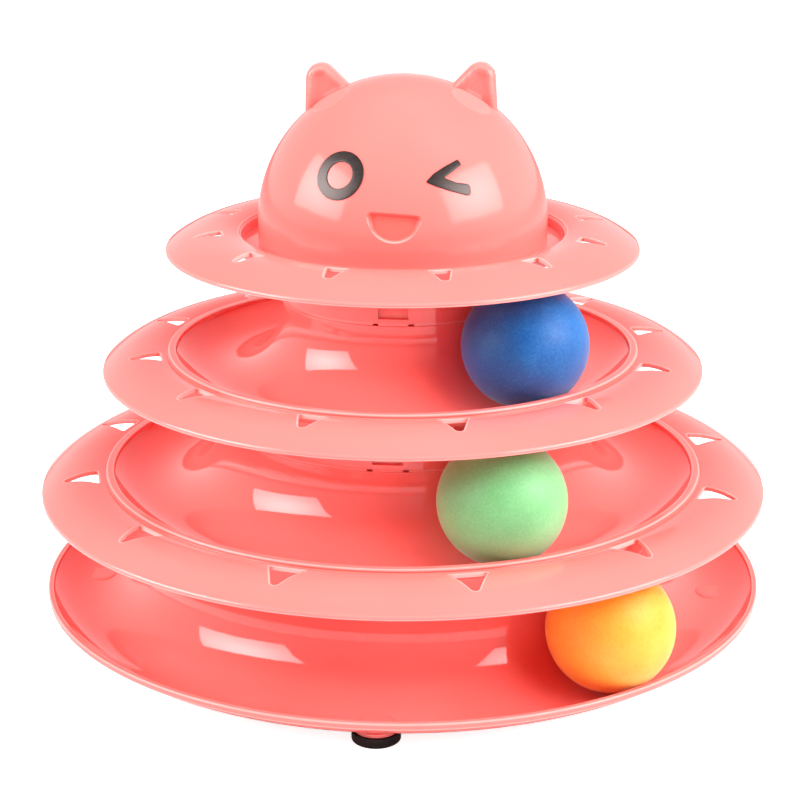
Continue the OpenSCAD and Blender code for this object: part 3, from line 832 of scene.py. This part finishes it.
def dome_height(ways):
    """Distance of the dome's surface from its centre in each direction."""
    gap, share = mouth_gap(ways)
    depth, slope = (np.interp(share, (0, 1), pair) for pair in (MOUTH_DEPTHS, MOUTH_SLOPES))
    height = DOME_R - depth * smooth_step(0.5 - gap / slope)
    for flat in FLATS:
        cut = FLAT_DISTANCE / np.maximum(ways @ flat, 0.1)
        mix = np.clip(0.5 + 0.5 * (height - cut) / FLAT_SOFT, 0, 1)
        height = height * (1 - mix) + cut * mix - FLAT_SOFT * mix * (1 - mix)
    return height + GATE_RING_H * np.exp(-(((gate_distance(ways) - GATE_RING_R) / GATE_RING_W) ** 2))


def from_disc(spots):
    """Directions for points of a flat disc, whose radius is the way down from the dome's top."""
    angle = np.hypot(spots[:, 0], spots[:, 1]) / DOME_R
    return np.column_stack((spots / DOME_R * np.sinc(angle / math.pi)[:, None], np.cos(angle)))


def dome_spots():
    """Points of the disc: coarse all over, finer round the mouth, the flats and the gate mark."""
    found = []
    for pitch, low, high in DOME_PITCHES:
        spots = hex_grid(pitch, EQUATOR)
        ways = from_disc(spots)
        edge = np.minimum(abs(mouth_gap(ways)[0]), abs(gate_distance(ways) - GATE_RING_R))
        for flat in FLATS:
            edge = np.minimum(edge, abs(np.arccos(np.clip(ways @ flat, -1, 1)) * DOME_R - FLAT_R))
        inside = np.hypot(spots[:, 0], spots[:, 1]) < EQUATOR - DOME_PITCHES[-1][-1]
        found.append(spots[inside & (edge >= low) & (edge < high)])
    return np.vstack(found)


def dome_surface(points):
    """Which points lie on the dome's outside, and its normals there."""
    def gap(p):
        return np.linalg.norm(p, axis=1) - dome_height(unit(p))

    local = points - DOME_CENTRE
    on = (abs(gap(local)) < TOUCH) & (local[:, 2] > -WELD)
    return on, slope_way(gap, local, DOME_STEP)


def ear_gap(local, side):
    """Distance from an ear's surface, with points counted from the dome's centre."""
    c, s = math.cos(math.radians(EAR_LEAN)), math.sin(math.radians(EAR_LEAN))
    across = (local[:, 0] * c + local[:, 2] * s) * side
    flat = np.column_stack((across, local[:, 2] * c - local[:, 0] * s))
    outline = outline_gap(flat, np.array(EAR_CORNERS)) - EAR_TIP_R
    front = EAR_MIDDLE[1] - local[:, 1]
    half = EAR_HALF - np.where(front > 0, EAR_DIP * smooth_step(-outline, *EAR_DIP_BAND), 0)
    slab = soft_overlap(outline, abs(front) - half, EAR_ROUND)
    return np.maximum(slab, DOME_R - EAR_ROOT - np.linalg.norm(local, axis=1))


def make_ear(side):
    """One ear as a ball of points pushed out to its surface."""
    bm = bmesh.new()
    bmesh.ops.create_icosphere(bm, subdivisions=5, radius=1)
    ways = unit(np.array([v.co for v in bm.verts]) * EAR_SPREAD)
    faces = [[v.index for v in f.verts] for f in bm.faces]
    bm.free()
    centre = np.array(EAR_MIDDLE) * (side, 1, 1) + (EAR_SHIFT, 0, 0)
    low, high = np.zeros(len(ways)), np.full(len(ways), EAR_REACH)
    for _ in range(EAR_HALVINGS):
        middle = (low + high) / 2
        outside = ear_gap(centre + ways * middle[:, None], side) > 0
        high = np.where(outside, middle, high)
        low = np.where(outside, low, middle)
    skin = Skin()
    skin.add(centre + ways * low[:, None] + DOME_CENTRE, faces)
    return skin.build("ear")


def ear_surface(side):
    """A test for the points on an ear, with its normals there."""
    def gap(p):
        return ear_gap(p, side)

    def surface(points):
        local = points - DOME_CENTRE
        on = (abs(gap(local)) < TOUCH) & (np.linalg.norm(local, axis=1) > DOME_R - 0.8 * EAR_ROOT)
        return on, slope_way(gap, local, EAR_STEP)
    return surface


def paint_face_light(head):
    """Paints shade into the mouth's floor, and paints highlights on its lower rim, the flats and the ears,
    which get no painted shade.
    """
    points = read(head.data.vertices, "co", 3) / MM - DOME_CENTRE
    reach = np.linalg.norm(points, axis=1)
    ways = unit(points)
    gap, share = mouth_gap(ways)
    painted_light_layers = [head.data.attributes[name].data for name in ("edge", "painted_shade")]
    edge, painted_shade = (read(tint, "value") for tint in painted_light_layers)
    # Near the mouth, a painted highlight along the lower rim and painted shade on the floor
    by_mouth = gap < MOUTH_MARGIN
    from_rim = smooth_step(abs(gap - MOUTH_RIM_AT), 0, MOUTH_RIM_HALF)
    rim = MOUTH_RIM_PAINTED_HIGHLIGHT * (1 - smooth_step(2 * share)) * (1 - from_rim)
    edge[by_mouth] = rim[by_mouth]
    painted_shade[by_mouth] = MOUTH_FLOOR_PAINTED_SHADE * smooth_step(0.5 - gap[by_mouth])
    # Painted highlight on the flats
    on_flat = (ways @ np.array(FLATS).T > FLAT_DISTANCE / DOME_R + 1e-4).any(1)
    on_flat &= abs(reach - DOME_R) < 1
    edge[on_flat] = np.maximum(edge[on_flat], FLAT_PAINTED_HIGHLIGHT)
    # Painted highlight on the ears, and no painted shade there
    on_ear = reach > DOME_R + EAR_FOOT
    edge[on_ear] = np.minimum(1, edge[on_ear] * EAR_PAINTED_HIGHLIGHT[0] + EAR_PAINTED_HIGHLIGHT[1])
    painted_shade[on_ear] = 0
    for tint, values in zip(painted_light_layers, (edge, painted_shade)):
        tint.foreach_set("value", values)


def make_head():
    """The dome with its skirt, mouth, flats and ears, hollow inside."""
    made, faces = triangulate(np.vstack((EQUATOR * around(COLUMNS), dome_spots())), [])
    ways = from_disc(made)
    skin = Skin()
    skin.add(ways * dome_height(ways)[:, None] + DOME_CENTRE, faces)
    inner_r = DOME_R - DOME_WALL
    top = DOME_CENTRE[2]
    add_lathe(skin, join(
        *straight([(DOME_R, top), (DOME_R, SEAT_Z), (inner_r, SEAT_Z), (inner_r, top)],
                  [EASED, EASED]), SEAMLESS,
        bend((0, top), inner_r, 0, 90, steps=24)))
    head = skin.build("head_dome")
    for side in (-1, 1):
        combine(head, make_ear(side), "UNION")
    polish(head, [dome_surface, ear_surface(-1), ear_surface(1)], whole_faces=True)
    # Painted shade in the mouth, and painted highlights on its rim, the flats and the ears
    paint_face_light(head)
    return head


def inlay(name, centre, outlines):
    """A thin plate with soft upper edges on the dome, between flat loops or in one."""
    right, up, out = face_axes(*centre)

    def place(flat, height):
        depth = np.sqrt(DOME_R**2 - (flat**2).sum(1))
        ways = (flat[:, :1] * right + flat[:, 1:] * up + depth[:, None] * out) / DOME_R
        return ways * (DOME_R + height) + DOME_CENTRE

    skin = Skin()
    tops = []
    for loop in outlines:
        ahead = unit(np.roll(loop, -1, axis=0) - np.roll(loop, 1, axis=0))
        inward = INLAY_ROUND * np.column_stack((-ahead[:, 1], ahead[:, 0]))
        rings = [place(loop, -INLAY_SUNK)]
        for step in np.radians(np.linspace(0, 90, 5)):
            rings.append(place(loop + inward * (1 - math.cos(step)),
                               INLAY_PROUD - INLAY_ROUND * (1 - math.sin(step))))
        tops.append(loop + inward)
        skin.add(np.vstack(rings), grid_faces(len(rings), len(loop)))
    grid = hex_grid(INLAY_PITCH, EYE_R + 1)
    grid = grid[outline_gap(grid, outlines[0]) < -INLAY_MARGIN]
    for hollow in outlines[1:]:
        grid = grid[outline_gap(grid, hollow) > INLAY_MARGIN]
    edges, first = [], 0
    for top in tops:
        edges += [(first + k, first + (k + 1) % len(top)) for k in range(len(top))]
        first += len(top)
    for height, loops in ((INLAY_PROUD, tops), (-INLAY_SUNK, outlines)):
        flat, faces = triangulate(np.vstack((*loops, grid)), edges, inside_only=True)
        for hollow in loops[1:]:
            faces = faces[outline_gap(flat[faces].mean(1), hollow) > 0]
        skin.add(place(flat, height), faces)
    piece = skin.build(name)
    piece.data.set_sharp_from_angle(angle=math.radians(INLAY_SHARP_TURN))
    return piece


def rounded_outline(corners):
    """A closed outline with rounded corners and closely spaced points."""
    loop = []
    for k, (corner, radius) in enumerate(corners):
        corner = np.array(corner)
        before = np.array(corners[k - 1][0]) - corner
        after = np.array(corners[(k + 1) % len(corners)][0]) - corner
        before_l, after_l = np.linalg.norm(before), np.linalg.norm(after)
        before, after = before / before_l, after / after_l
        half = math.acos(np.clip(before @ after, -1, 1)) / 2
        reach = min(radius / math.tan(half), before_l * CORNER_SHARE, after_l * CORNER_SHARE)
        loop.append(rounding(corner + before * reach, corner, corner + after * reach))
    dense = []
    joined = np.vstack(loop)
    for a, b in zip(joined, np.roll(joined, -1, axis=0)):
        count = max(1, int(np.linalg.norm(b - a) / WINK_PITCH))
        share = np.linspace(0, 1, count, endpoint=False)[:, None]
        dense.append(a * (1 - share) + b * share)
    return np.vstack(dense)


# Balls and feet

def make_ball(colour):
    """A ball with the faint seam of its two halves, tilted as it has rolled."""
    path = bend((0, 0), BALL_R, -90, 90, steps=72)
    path += path / BALL_R * (SEAM_H * np.exp(-((path[:, 1:] / SEAM_W) ** 2)))
    path[0, 0] = path[-1, 0] = 0
    skin = Skin()
    add_lathe(skin, path, columns=128)
    piece = skin.build(f"{colour}_ball_skin")
    place = ORBITS[colour] * direction(BALL_TURNS[colour], 0)
    place[2] = BALL_ZS[colour]
    about_x, about_y = (Matrix.Rotation(turn, 4, axis) for turn, axis in zip(BALL_TILTS[colour], "XY"))
    piece.data.transform(Matrix.Translation(Vector(place) * MM) @ about_x @ about_y)
    return piece


def make_foot(name, turn):
    """A rubber disc with a rounded lower edge and a shallow cup under it."""
    r = FOOT_D / 2
    ring, ring_top = r - FOOT_RING_W, r - FOOT_RING_TOP_W
    path = join(*straight([(0, FOOT_CUP_H), (ring_top, FOOT_CUP_H), (ring, 0), (r, 0), (r, FOOT_H),
                           (0, FOOT_H)], FOOT_ROUNDS, [4, 6, 6, 6, 4]))
    skin = Skin()
    add_lathe(skin, path, columns=64, centre=FOOT_R * direction(turn, 0)[:2])
    return skin.build(name)


# Materials

class Nodes:
    """Adds nodes to a material, a world or a lamp."""

    def __init__(self, owner):
        owner.use_nodes = True
        self.tree = owner.node_tree

    def feed(self, node, inputs):
        """Sets a node's inputs: outputs are linked, anything else is a plain value."""
        for key, value in inputs.items():
            if isinstance(value, bpy.types.NodeSocket):
                self.tree.links.new(value, node.inputs[key])
            else:
                node.inputs[key].default_value = value

    def add(self, kind, inputs=None, output=0, **settings):
        """Adds a node and gives back one of its outputs."""
        node = self.tree.nodes.new("ShaderNode" + kind)
        for key, value in settings.items():
            setattr(node, key, value)
        self.feed(node, inputs or {})
        return node.outputs[output]

    def noise(self, scale, detail, roughness=0.5, place=None):
        """A cloudy value over the surface, in the object's own coordinates."""
        place = place or self.add("TexCoord", output="Object")
        return self.add("TexNoise", {"Vector": place, "Scale": scale, "Detail": detail,
                                     "Roughness": roughness})

    def ramp(self, factor, stops):
        """A colour between two or more, each at its own value of the factor."""
        colour = self.add("ValToRGB", {"Fac": factor})
        elements = colour.node.color_ramp.elements
        for element, (position, shade) in zip(elements, (stops[0], stops[-1])):
            element.position = position
            element.color = (*shade, 1)
        for position, shade in stops[1:-1]:
            elements.new(position).color = (*shade, 1)
        return colour

    def blend(self, factor, below, above):
        """A colour that goes from an output's to a plain one."""
        return self.add("Mix", {"Factor": factor, 6: below, 7: (*above, 1)}, output=2,
                        data_type="RGBA")

    def math(self, operation, a, b):
        return self.add("Math", {0: a, 1: b}, operation=operation)

    def between(self, value, ends, span=(0, 1), **settings):
        """Goes from one end to the other as a value crosses a span."""
        return self.add("MapRange", {"Value": value, "From Min": span[0], "From Max": span[1],
                                     "To Min": ends[0], "To Max": ends[1]}, **settings)

    def bump(self, height, strength, distance):
        return self.add("Bump", {"Height": height, "Strength": strength, "Distance": distance})


def new_material(name, look, *choices):
    """A material whose shader gets the inputs that a look works out."""
    material = bpy.data.materials.new(name)
    nodes = Nodes(material)
    nodes.feed(nodes.tree.nodes["Principled BSDF"], look(nodes, *choices))
    return material


def pink_plastic(nodes, gloss, gloss_level):
    """Moulded plastic with a painted highlight along its edges and painted shade in its creases, faintly
    cloudy and rippled.
    """
    clouds = nodes.noise(scale=18, detail=3)
    colour = nodes.ramp(clouds, [(0.3, PINK[0]), (0.7, PINK[1])])
    # Mixes in the painted highlight on edges and the painted shade in creases
    for name, tint in PINK_PAINTED_LIGHT.items():
        share = nodes.add("Attribute", output="Fac", attribute_name=name)
        colour = nodes.blend(share, colour, tint)
    smudges = nodes.noise(scale=45, detail=4, roughness=0.6)
    ripples = nodes.noise(scale=90, detail=2, roughness=0.4)
    return {
        "Base Color": colour,
        "Roughness": nodes.between(smudges, gloss, span=(0.35, 0.7)),
        "Normal": nodes.bump(ripples, strength=1, distance=0.00004),
        "IOR": 1.49,
        "Specular IOR Level": gloss_level,
    }


def chalky_plastic(nodes, light, dark, deep):
    """Matte plastic with a fine speckle, deeper clouds and light under its skin."""
    speckle = nodes.noise(scale=1400, detail=2, roughness=0.7)
    clouds = nodes.noise(scale=60, detail=5, roughness=0.6)
    mean = nodes.math("MULTIPLY", nodes.math("ADD", speckle, clouds), 0.5)
    return {
        "Base Color": nodes.ramp(mean, [(0.34, deep), (0.49, dark), (0.64, light)]),
        "Normal": nodes.bump(speckle, strength=0.4, distance=0.00003),
        "Roughness": 0.47,
        "IOR": 1.45,
        "Specular IOR Level": 0.4,
        "Sheen Weight": 0.2,
        "Sheen Roughness": 0.45,
        "Subsurface Weight": 1,
        "Subsurface Radius": (1, 1, 1),
        "Subsurface Scale": 0.018,
    }


def dark_film(nodes):
    """Dark grey film with a brushed sheen."""
    place = nodes.add("TexCoord", output="Object")
    stretched = nodes.add("Mapping", {"Vector": place, "Scale": (300, 300, 5000)})
    brushed = nodes.noise(scale=1, detail=4, place=stretched)
    return {
        "Base Color": nodes.ramp(brushed, [(0.3, FILM_GREY[0]), (0.7, FILM_GREY[1])]),
        "Roughness": nodes.between(brushed, (0.24, 0.34)),
        "Normal": nodes.bump(brushed, strength=0.4, distance=0.00002),
        "Specular Tint": FILM_GLOSS_TINT,
    }


def rubber(nodes):
    """Dull black rubber with a grain."""
    grain = nodes.noise(scale=900, detail=3)
    return {
        "Base Color": nodes.ramp(grain, [(0.35, RUBBER_BLACK[0]), (0.7, RUBBER_BLACK[1])]),
        "Normal": nodes.bump(grain, strength=0.5, distance=0.00008),
        "Roughness": 0.5,
        "Specular IOR Level": 0.2,
    }


def white_floor(nodes):
    """Dull, and white by itself to the camera and a little in reflections."""
    rays = nodes.add("LightPath").node.outputs
    seen = nodes.math("MULTIPLY", rays["Is Camera Ray"], FLOOR_GLOW)
    mirrored = nodes.math("MULTIPLY", rays["Is Glossy Ray"], FLOOR_MIRRORED)
    return {
        "Base Color": (0.8, 0.8, 0.8, 1),
        "Roughness": 0.9,
        "Specular IOR Level": 0,
        "Emission Color": (1, 1, 1, 1),
        "Emission Strength": nodes.math("ADD", seen, mirrored),
    }


# Stage

def make_floor():
    """A floor that keeps the object's shadow and reads as white."""
    half = FLOOR_HALF
    corners = [(-half, -half, 0), (half, -half, 0), (half, half, 0), (-half, half, 0)]
    mesh = bpy.data.meshes.new("floor")
    mesh.from_pydata(corners, [], [(0, 1, 2, 3)])
    floor = show("floor", mesh)
    mesh.materials.append(new_material("floor_white", white_floor))


def make_world():
    """White to the camera, a weak fill for plain light, and a glow low down in reflections."""
    world = bpy.data.worlds.new("studio")
    bpy.context.scene.world = world
    nodes = Nodes(world)
    rays = nodes.add("LightPath").node.outputs
    place = nodes.add("TexCoord", output="Generated")
    height = nodes.add("SeparateXYZ", {"Vector": place}, output="Z")
    mirrored = nodes.between(height, WORLD_MIRRORED, span=WORLD_FADE)
    strength = WORLD_FILL
    for ray, level in (("Is Glossy Ray", mirrored), ("Is Transmission Ray", 1), ("Is Camera Ray", 1)):
        strength = nodes.add("Mix", {"Factor": rays[ray], "A": strength, "B": level})
    nodes.feed(nodes.tree.nodes["Background"], {"Color": (1, 1, 1, 1), "Strength": strength})


def softbox(name, turn, lift, distance, size, power, mirrored=True):
    """A rectangular lamp facing the object, brightest in its middle, seen in gloss or not."""
    data = bpy.data.lights.new(name, "AREA")
    data.shape = "RECTANGLE"
    data.size, data.size_y = size
    data.energy = power
    nodes = Nodes(data)
    place = nodes.add("NewGeometry", output="Parametric")
    off = nodes.add("VectorMath", {0: place, 1: (0.5, 0.5, 0)}, output="Value", operation="DISTANCE")
    glow = nodes.between(off, LAMP_GLOW, span=LAMP_FADE, interpolation_type="SMOOTHSTEP")
    nodes.feed(nodes.tree.nodes["Emission"], {"Strength": glow})
    lamp = show(name, data)
    way = Vector(direction(turn, lift))
    lamp.location = Vector(LAMP_AIM) + way * distance
    lamp.rotation_euler = way.to_track_quat("Z", "Y").to_euler()
    lamp.visible_glossy = mirrored


def make_camera():
    data = bpy.data.cameras.new("camera")
    data.sensor_width = SENSOR_W
    data.lens = LENS
    data.shift_x = CAMERA_SHIFT
    camera = show("camera", data)
    camera.location = Vector(CAMERA_PLACE) * MM
    ahead = -Vector(direction(CAMERA_TURN, CAMERA_LIFT))
    camera.rotation_euler = ahead.to_track_quat("-Z", "Y").to_euler()
    bpy.context.scene.camera = camera


def dress(piece, body, slot, material, *nodes):
    """Gives a piece its material and body and hides the model's parts named by the nodes it stands for;
    the slot is not used.
    """
    piece.data.materials.clear()
    piece.data.materials.append(material)
    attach(piece, body)
    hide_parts(*nodes)


pink = new_material("pink_plastic", pink_plastic, (0.035, 0.08), 0.5)
soft_pink = new_material("soft_pink_plastic", pink_plastic, (0.09, 0.14), 0.32)
film = new_material("dark_metal", dark_film)
black = new_material("rubber", rubber)

dress(make_tray(), "tower", "shell", pink, "base_tray")
middle = make_track("middle_shell", "green", MIDDLE_FLOOR, TRAY_FLOOR, TRAY_RIM_R, MIDDLE_HOLE)
dress(middle, "tower", "shell", pink, "middle_track")
upper = make_track("upper_shell", "blue", UPPER_FLOOR, MIDDLE_FLOOR, MIDDLE_RIM_R, UPPER_HOLE)
dress(upper, "tower", "shell", pink, "upper_track")
dress(make_plate(), "tower", "shell", pink, "top_plate")
dress(make_head(), "tower", "shell", soft_pink, "head_shell")
ring = [EYE_R * around(96), EYE_IN_R * around(60)[::-1]]
dress(inlay("open_eye", EYE_PLACE, ring), "tower", "eyes", film, "eye_ring")
dress(inlay("closed_eye", WINK_PLACE, [rounded_outline(WINK_CORNERS)]), "tower", "eyes", film, "eye_wink")
for colour, shades in BALL_COLOURS.items():
    chalk = new_material(f"{colour}_chalk", chalky_plastic, *shades)
    dress(make_ball(colour), f"{colour}_ball", f"ball_{colour}", chalk, f"ball_{colour}")
for k, place in enumerate(("front", "right", "back", "left")):
    dress(make_foot(f"foot_pad_{place}", k * 90), "tower", "feet", black, f"foot_{place}")

make_floor()
make_world()
softbox("left_softbox", turn=-68, lift=26, distance=0.9, size=(0.75, 0.5), power=10.2)
softbox("right_softbox", turn=66, lift=26, distance=0.9, size=(0.8, 0.5), power=10.6)
softbox("upper_left_softbox", turn=-75, lift=60, distance=1.2, size=(0.8, 0.8), power=6.5, mirrored=False)
softbox("upper_right_softbox", turn=75, lift=60, distance=1.2, size=(0.8, 0.8), power=14.5, mirrored=False)
make_camera()
bpy.context.scene.view_settings.view_transform = "Standard"
